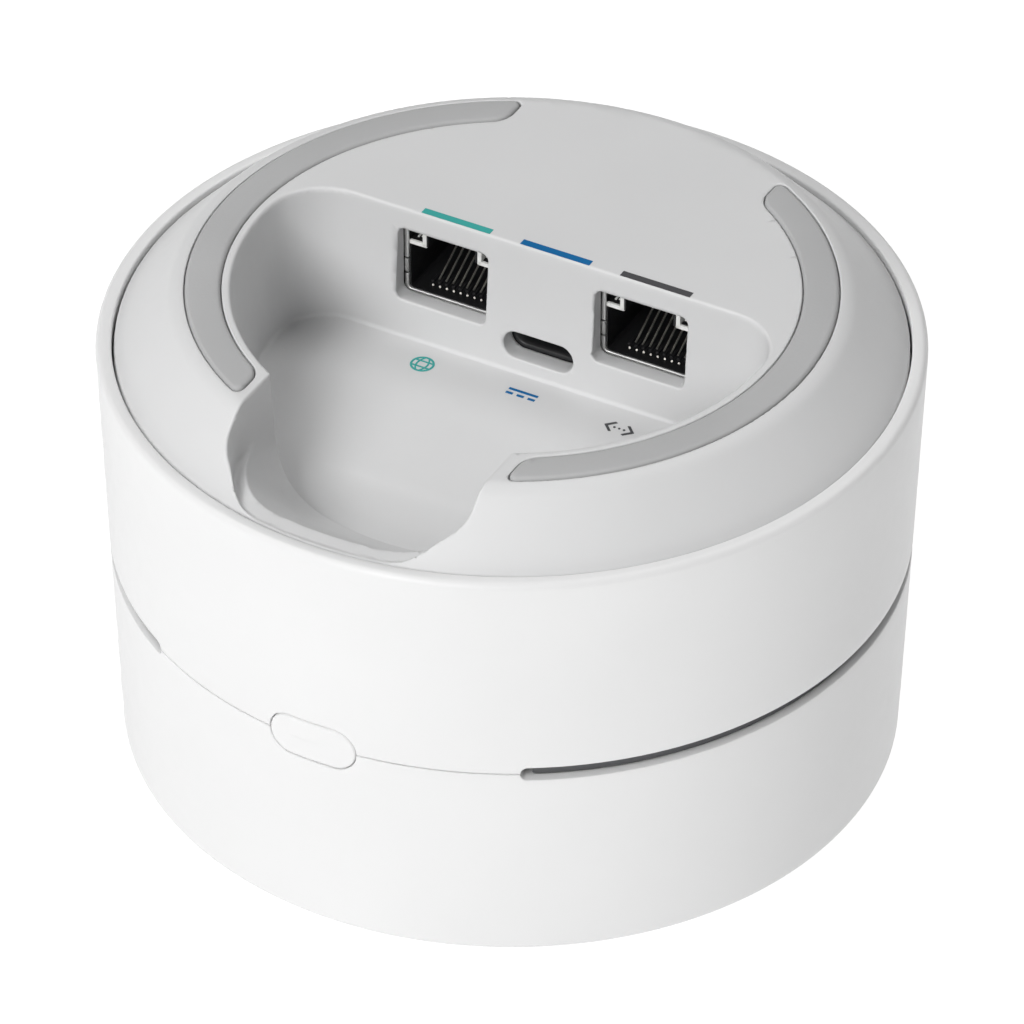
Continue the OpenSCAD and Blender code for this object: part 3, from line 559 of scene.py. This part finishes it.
out = [(0.4, 0.0), (18.0, 0.0), (36.0, 0.0), (FACE_R - 1.6, 0.0)] + arc(FACE_R - 1.5, 1.5, 1.5, -88, 0, 8)
inn = [(shell_r(3) - WALL, 3.0), (shell_r(3) - WALL - 0.8, 2.2), (36.0, 2.2), (18.0, 2.2), (0.4, 2.2)]
b, rows = make_shell(-1, False, out, inn)
b.f.append(list(range(COLS))[::-1])
b.f.append([(len(rows) - 1) * COLS + k for k in range(COLS)])
for a in (45, 135, 225, 315):
    c = np.array([BOSS_AT_R * math.cos(math.radians(a)), BOSS_AT_R * math.sin(math.radians(a)), 0])
    ring = np.radians(np.arange(0, 360, 15))
    circle = np.stack([np.cos(ring), np.sin(ring), 0 * ring], axis=1)
    section = [(BOSS_R + 0.6, 2.2), (BOSS_R, 3.2), (BOSS_R, 31.3), (BOSS_R - 0.3, BOSS_TOP_Z),
               (PILOT_R + 0.2, BOSS_TOP_Z), (PILOT_R, 31.4), (PILOT_R, 18.0)]
    b.loft([c + circle * r + (0, 0, z) for r, z in section], caps=(True, True))
    u = c / BOSS_AT_R
    w = np.array([-u[1], u[0], 0]) * 0.6
    rib = []
    for z in (2.1, 23.7, RIB_TOP_Z):
        inner, outer_r = BOSS_AT_R + 2.5, shell_r(10) - WALL + 0.5
        inset = 0.2 if z == RIB_TOP_Z else 0.0
        rib.append([u * inner - w + (0, 0, z), u * (outer_r - inset) - w + (0, 0, z),
                    u * (outer_r - inset) + w + (0, 0, z), u * inner + w + (0, 0, z)])
    b.loft(rib, caps=(True, True))
sharpen(outward(b.done("top_shell", "shell_white", "housing", "top_cover")), 50)

rim = [(RIM_IN_R, BASE_LOW_Z), (RIM_IN_R, 59.7)] + arc(RIM_IN_R + 0.3, 59.7, 0.3, 170, 95, 4)
rim += [(r, z) for r, z in arc(shell_r(RIM_Z - RIM_EDGE) - RIM_EDGE, RIM_Z - RIM_EDGE, RIM_EDGE, 88, 0, 8)]
inside = [(shell_r(40.8) - WALL, 40.8), (46.5, 40.8), (46.5, 42.4), (shell_r(42.4) - WALL, 42.4),
          (shell_r(51) - WALL, 51.9), (48.4, 53.5), (48.4, BASE_LOW_Z)]
b, rows = make_shell(1, True, rim, inside)
sharpen(outward(b.done("side_shell", "shell_white", "housing", "side_housing")), 50)

# ---------------------------------------------------------------- light ring behind the groove
# the ring wears the light_guide material, whose near-black colour is painted shade in the groove
b = Build()
phis = np.concatenate([[31.7, 31.9, 32.2], np.linspace(33, 327, 148), [327.8, 328.1, 328.3]])
nose = shell_r(SEAM_Z) - 1.05
section = [(46.9, -1.8), (nose - 1.4, -1.8), (nose - 1.0, -0.92), (nose - 0.35, -0.92), (nose - 0.1, -0.8),
           (nose, -0.5), (nose + 0.02, 0), (nose, 0.5), (nose - 0.1, 0.8), (nose - 0.35, 0.92), (nose - 1.0, 0.92),
           (nose - 1.4, 1.8), (46.9, 1.8)]
section_r, section_z = np.array(section).T
END_HEIGHTS = (0.62, 0.85, 0.97)
cols = []
for i, a in enumerate(phis):
    from_end = min(i, len(phis) - 1 - i)
    height = END_HEIGHTS[from_end] if from_end < len(END_HEIGHTS) else 1.0
    cols.append(polar([a] * len(section), section_r, SEAM_Z + height * section_z))
b.loft(cols, caps=(True, True))
sharpen(outward(b.done("light_guide_ring", "light_guide", "housing", "light_ring")), 60)


def rounded_ring(half_u, half_v, corner, n_corner=8, n_u=24, n_v=6):
    """Points round a rounded rectangle, the same number whatever its size."""
    pts = []
    cu, cv = half_u - corner, half_v - corner
    for i, (su, sv) in enumerate(((1, 1), (-1, 1), (-1, -1), (1, -1))):
        for t in np.linspace(90 * i, 90 * i + 90, n_corner):
            turn = math.radians(t)
            pts.append((su * cu + corner * math.cos(turn), sv * cv + corner * math.sin(turn)))
        start, end = pts[-1], [(-cu, half_v), (-half_u, -cv), (cu, -half_v), (half_u, cv)][i]
        for t in np.linspace(0, 1, (n_v if i % 2 else n_u) + 2)[1:-1]:
            pts.append((start[0] + (end[0] - start[0]) * t, start[1] + (end[1] - start[1]) * t))
    return np.array(pts)


def port_ring(x0, x1, z0, z1, corner, y, inset=0.0):
    """A rounded rectangle that stands across Y."""
    ring = rounded_ring((x1 - x0) / 2 - inset, (z1 - z0) / 2 - inset, max(corner - inset, 0.02), 6, 1, 1)
    return np.stack([(x0 + x1) / 2 + ring[:, 0], 0 * ring[:, 0] + y, (z0 + z1) / 2 + ring[:, 1]], axis=1)


def cut(obj, cutters):
    """Takes the closed shells of a Build away from an object."""
    tool = cutters.done("tool", "black_plastic", "housing")
    outward(tool)
    mod = obj.modifiers.new("cut", "BOOLEAN")
    mod.operation = "DIFFERENCE"
    mod.solver = "EXACT"
    mod.object = tool
    mod.use_self = True
    bpy.context.view_layer.update()
    mesh = bpy.data.meshes.new_from_object(obj.evaluated_get(bpy.context.evaluated_depsgraph_get()))
    obj.modifiers.clear()
    old, name = obj.data, obj.data.name
    obj.data = mesh
    bpy.data.meshes.remove(old)
    mesh.name = name
    bpy.data.objects.remove(tool)
    return obj


# ---------------------------------------------------------------- network jacks
def jack(label, cx):
    # shield: a folded frame round the mouth, with a spring finger at each side, and the can behind it
    low, high, front = 53.35, 64.6, PORT_FRONT_Y + 0.02
    frame_x, hole_x, hole_low, hole_high = 6.83, 6.19, 53.95, 64.35

    def outer(y, inset=0.0):
        return port_ring(cx - frame_x, cx + frame_x, low, high, 0.9, y, inset)

    def inner(y, inset=0.0):
        return port_ring(cx - hole_x, cx + hole_x, hole_low, hole_high, 0.45, y, inset)

    b = Build()
    b.loft([outer(front + 0.34), outer(front + 0.12), outer(front + 0.04, 0.04), outer(front, 0.12),
            inner(front, -0.12), inner(front + 0.04, -0.04), inner(front + 0.12), inner(front + 0.34)],
           closed_rows=True)
    rim = outward(b.done(f"{label}_jack_rim", "plated_steel", "housing", f"{label}_jack_shield"))
    notch = Build()
    for z in (56.25, 58.55):
        for s in (-1, 1):
            x = cx + s * (frame_x + hole_x) / 2
            notch.box((x - 0.45, front - 0.2, z - 0.14), (x + 0.45, front + 0.6, z + 0.14))
    sharpen(cut(rim, notch), 40)
    b = Build()
    for s in (-1, 1):
        x = cx + s * (frame_x + hole_x) / 2
        rows = []
        for z, bow in ((56.44, 0.0), (56.6, 0.06), (56.95, 0.15), (57.4, 0.19), (57.85, 0.15), (58.2, 0.06),
                       (58.36, 0.0)):
            x0, x1, y = x - 0.24 - s * bow, x + 0.24 - s * bow, front - 0.02 - 0.5 * bow
            rows.append([(x0, y, z), (x1, y, z), (x1, y + 0.2, z), (x0, y + 0.2, z)])
        b.loft(rows, caps=(True, True))
    wide, thin = (8.0, 50.9, 64.9), (7.7, 51.2, 64.6)
    rows = [port_ring(cx - w, cx + w, z0, z1, 0.5, y, inset) for (w, z0, z1), y, inset in
            ((thin, 30.7, 0.0), (thin, front + 0.5, 0.0), (wide, front + 0.5, 0.0), (wide, 30.8, 0.0),
             (wide, 31.0, 0.2))]
    b.loft(rows, caps=(True, True))
    sharpen(outward(b.done(f"{label}_jack_can", "plated_steel", "housing", f"{label}_jack_shield")), 40)

    # insert: the cavity with its latch slot, the comb for the wires, and a deep pocket behind each light window
    b = Build()
    b.box((cx - 7.6, front + 0.36, 51.3), (cx + 7.6, 30.6, 64.5), 0.25)
    body = outward(b.done(f"{label}_jack_body", "black_plastic", "housing", f"{label}_jack_insert"))
    hollow = Build()
    hollow.box((cx - 6.0, 9.0, 53.95), (cx + 6.0, 24.0, 60.9), 0.3)
    cut(body, hollow)
    hollow = Build()
    hollow.box((cx - 3.45, 9.1, 54.2), (cx + 3.45, 21.0, 64.1), 0.3)
    for s in (-1, 1):
        hollow.box((cx + s * 5.0 - 1.32, 9.2, 61.25), (cx + s * 5.0 + 1.32, 12.6, 64.2), 0.05)
        hollow.box((cx + s * 5.0 - 1.32, 9.3, 60.55), (cx + s * 5.0 + 1.32, 10.7, 64.1), 0.05)
    sharpen(cut(body, hollow), 35)
    b = Build()
    for i in range(9):
        x = cx + (i - 4) * 1.02
        b.box((x - 0.22, 12.3, 53.7), (x + 0.22, 14.0, 54.22), 0.08)
    sharpen(outward(b.done(f"{label}_jack_comb", "black_plastic", "housing", f"{label}_jack_insert")), 35)

    # eight sprung wires, whose bright ends stand in front of the comb
    b = Build()
    for i in range(8):
        x = cx + (i - 3.5) * 1.02
        path = [(x, 13.2, 53.9), (x, 13.45, 54.02), (x, 14.2, 54.4), (x, 17.2, 56.06), (x, 20.6, 57.92),
                (x, 23.9, 59.7)]
        b.tube(path, 0.15, 8)
        path = [(x, 11.72, 53.7), (x, 11.7, 53.98), (x, 11.66, 54.08), (x, 11.58, 54.12)]
        b.tube(path, 0.15, 8)
    sharpen(outward(b.done(f"{label}_jack_wires", "contact_gold", "housing", f"{label}_jack_contacts")), 60)

    # light windows: an L of clear plastic round a dark mouth, with the lamp's leads inside
    b = Build()
    for s in (-1, 1):
        near, far, t = cx + s * 3.72, cx + s * 6.26, 0.62
        arm = sorted((near, near + s * t))
        b.box((arm[0], front + 0.42, 60.6), (arm[1], 12.4, 64.1), 0.07)
        bar = sorted((near + s * 0.05, far))
        b.box((bar[0], front + 0.42, 60.6), (bar[1], front + 0.85, 60.6 + t), 0.07)
        for u, z, w in ((4.75, 61.65, 0.16), (5.35, 61.5, 0.13), (5.05, 62.3, 0.10), (5.75, 62.2, 0.13)):
            b.box((cx + s * u - w, 10.95, z - 0.11), (cx + s * u + w, 12.5, z + 0.11), 0.05)
    sharpen(outward(b.done(f"{label}_jack_lights", "led_lens", "housing", f"{label}_jack_windows")), 35)


jack("wan", -JACK_X)
jack("lan", JACK_X)


# ---------------------------------------------------------------- power inlet
def inlet():
    def ring(w, h, y, inset=0.0):
        pts = rounded_ring(w / 2 - inset, h / 2 - inset, h / 2 - inset - 0.01, 12, 6, 1)
        return np.stack([pts[:, 0], 0 * pts[:, 0] + y, USB_Z + pts[:, 1]], axis=1)

    b = Build()
    b.loft([ring(*at) for at in ((8.94, 3.16, 17.1), (8.94, 3.16, 10.9), (9.5, 3.3, 10.35), (9.66, 3.36, 10.1),
                                 (9.66, 3.36, 10.0), (9.62, 3.32, 9.96), (9.46, 3.16, 9.96), (9.3, 3.0, 10.3),
                                 (8.42, 2.64, 10.9), (8.42, 2.64, 17.0))], closed_rows=True)
    for x in (-3.4, 2.6):
        for y in (10.95, 15.15):
            b.box((x, y, 50.9), (x + 0.8, y + 1, 51.1), 0.05)
    sharpen(outward(b.done("usb_shell", "plated_steel", "housing", "usb_c_shell")), 40)
    b = Build()
    # a black sleeve over the shell's inside and a black plate round its mouth are painted shade that keeps the mouth
    # dark; the box below is the tongue itself
    b.loft([ring(*at) for at in ((8.4, 2.6, 16.9), (8.4, 2.6, 10.95), (9.24, 2.94, 10.3), (9.34, 3.04, 9.92),
                                 (11.4, 5.1, 9.9), (11.4, 5.1, 9.68), (9.5, 3.2, 9.68), (9.2, 2.9, 9.8),
                                 (8.1, 2.3, 10.9), (8.1, 2.3, 16.6))], caps=(True, True))
    b.box((-3.35, 10.9, USB_Z - 0.35), (3.35, 16.7, USB_Z + 0.35), 0.12)
    sharpen(outward(b.done("usb_tongue_and_shade_lining", "black_plastic", "housing", "usb_c_tongue")), 40)
    b = Build()
    for i in range(12):
        x = (i - 5.5) * 0.5
        for z in (USB_Z - 0.36, USB_Z + 0.35):
            b.box((x - 0.12, 11.2, z - 0.015), (x + 0.12, 15.5, z + 0.02))
    b.done("usb_pads", "contact_gold", "housing", "usb_c_tongue", smooth=False)


inlet()


# ---------------------------------------------------------------- feet and button
for sign, label in ((-1, "left"), (1, "right")):
    lo, hi = (-42.2, -18.4) if sign < 0 else (18.4, 42.2)
    field_mesh(f"foot_{label}", foot_field(sign), (lo, -38.2, 66.2), (hi, 38.2, 68.3), 0.2, 0.1, "foot_rubber",
               "housing", f"rubber_foot_{label}")


def button():
    half_u, half_v = BUTTON_W / 2 - BUTTON_GAP, BUTTON_H / 2 - BUTTON_GAP
    b = Build()
    rows = []
    rr = 0.3
    levels = [(0.0, 3.2), (0.0, 1.6), (0.0, 0.8)]
    levels += [(rr * (1 - math.sin(a)), rr * (1 - math.cos(a))) for a in np.radians([80, 60, 40, 20])]
    levels += [(rr, 0.0), (0.7, 0.0), (1.3, 0.0), (2.0, 0.0), (2.6, 0.0), (half_v - 0.03, 0.0)]
    for inset, sink in levels:
        ring = rounded_ring(half_u - inset, half_v - inset, half_v - inset - 0.001, n_corner=14, n_u=10, n_v=1)
        x, z = ring[:, 0], SEAM_Z + ring[:, 1]
        y = -np.sqrt(shell_r(z) ** 2 - x ** 2) + sink
        if sink > 3:
            y = 0 * y - 49.0
        rows.append(np.stack([x, y, z], axis=1))
    b.loft(rows, caps=(True, True))
    flange = []
    for y, inset in ((-49.0, 0.15), (-48.85, 0.0), (-48.15, 0.0), (-48.0, 0.15)):
        tall = (BUTTON_H + 1.6) / 2 - inset
        ring = rounded_ring((BUTTON_W + 2) / 2 - inset, tall, tall - 0.001, n_corner=14, n_u=10, n_v=1)
        flange.append(np.stack([ring[:, 0], 0 * ring[:, 0] + y, SEAM_Z + ring[:, 1]], axis=1))
    b.loft(flange, caps=(True, True))
    a = np.radians(np.arange(0, 360, 15))
    pusher = ((-48.05, 1.7), (-47.8, 1.4), (-46.45, 1.4), (-46.25, 1.2))
    b.loft([np.stack([r * np.cos(a), 0 * a + y, SEAM_Z + r * np.sin(a)], axis=1) for y, r in pusher], caps=(True, True))
    sharpen(outward(b.done("reset_cap", "shell_white", "button", "reset_button")), 50)


button()


# ---------------------------------------------------------------- stage, lights and camera
def floor():
    m = Mat("studio_floor")
    m.into("Base Color", m.mix(m.span(m.noise(3.0, 2.0), 0, 1), (0.195, 0.195, 0.195), (0.205, 0.205, 0.205)))
    m.into("Roughness", m.span(m.noise(20.0, 3.0), 0.75, 0.85))
    m.set(Emission_Color=(1, 1, 1, 1), Emission_Strength=0.9)
    mesh = bpy.data.meshes.new("studio_floor")
    w = 6.0
    mesh.from_pydata([(-w, -w, -0.0002), (w, -w, -0.0002), (w, w, -0.0002), (-w, w, -0.0002)], [], [(0, 1, 2, 3)])
    obj = bpy.data.objects.new("studio_floor", mesh)
    mesh.materials.append(m.m)
    bpy.context.scene.collection.objects.link(obj)


floor()


def lamp(name, turn, height, power, size=0.7, far=1.8):
    """A round soft light: degrees from the front, degrees above the floor, watts."""
    data = bpy.data.lights.new(name, "AREA")
    data.shape = "DISK"
    data.size = size
    data.energy = power
    obj = bpy.data.objects.new(name, data)
    bpy.context.scene.collection.objects.link(obj)
    a, e = math.radians(turn - 90), math.radians(height)
    way = Vector((math.cos(e) * math.cos(a), math.cos(e) * math.sin(a), math.sin(e)))
    obj.location = way * far + Vector((0, 0, 0.04))
    obj.rotation_euler = (-way).to_track_quat("-Z", "Y").to_euler()


lamp("left_key", -75, 61, 9.6)
lamp("front_high", -10, 45, 8.0)
lamp("front_key", 2, 28, 16.0)
lamp("right_high", 40, 40, 1.3)
lamp("right_low", 100, 15, 2.0)
lamp("back", 160, 40, 2.3)
lamp("top_back", 180, 65, 7.6)

# the room: pale near the floor, dim overhead
world = bpy.data.worlds.new("studio")
bpy.context.scene.world = world
world.use_nodes = True
tree = world.node_tree
way = tree.nodes.new("ShaderNodeTexCoord")
split = tree.nodes.new("ShaderNodeSeparateXYZ")
fall = tree.nodes.new("ShaderNodeMapRange")
for socket_name, value in (("From Min", 0.0), ("From Max", 0.32), ("To Min", 0.34), ("To Max", 0.02)):
    socket(fall, socket_name, value)
tree.links.new(way.outputs["Generated"], split.inputs[0])
tree.links.new(split.outputs["Z"], fall.inputs["Value"])
tree.links.new(fall.outputs["Result"], tree.nodes["Background"].inputs["Strength"])
socket(tree.nodes["Background"], "Color", (1, 1, 1, 1))

scene = bpy.context.scene
scene.view_settings.view_transform = "Standard"
scene.view_settings.look = "None"
scene.view_settings.exposure = 0.0

yaw, pitch, roll = math.radians(28.7), math.radians(36.997), math.radians(0.1334)
ahead = Vector((-math.sin(yaw) * math.cos(pitch), math.cos(yaw) * math.cos(pitch), -math.sin(pitch)))
right = ahead.cross(Vector((0, 0, 1))).normalized()
up = right.cross(ahead)
right, up = right * math.cos(roll) + up * math.sin(roll), up * math.cos(roll) - right * math.sin(roll)
turn = Matrix((right, up, -ahead)).transposed().to_4x4()
camera = bpy.data.cameras.new("camera")
camera.lens = 274.73
camera.sensor_width = 36.0
camera.clip_end = 20.0
view = bpy.data.objects.new("camera", camera)
scene.collection.objects.link(view)
view.matrix_world = Matrix.Translation((0.3884, -0.7093, 0.6407)) @ turn
scene.camera = view
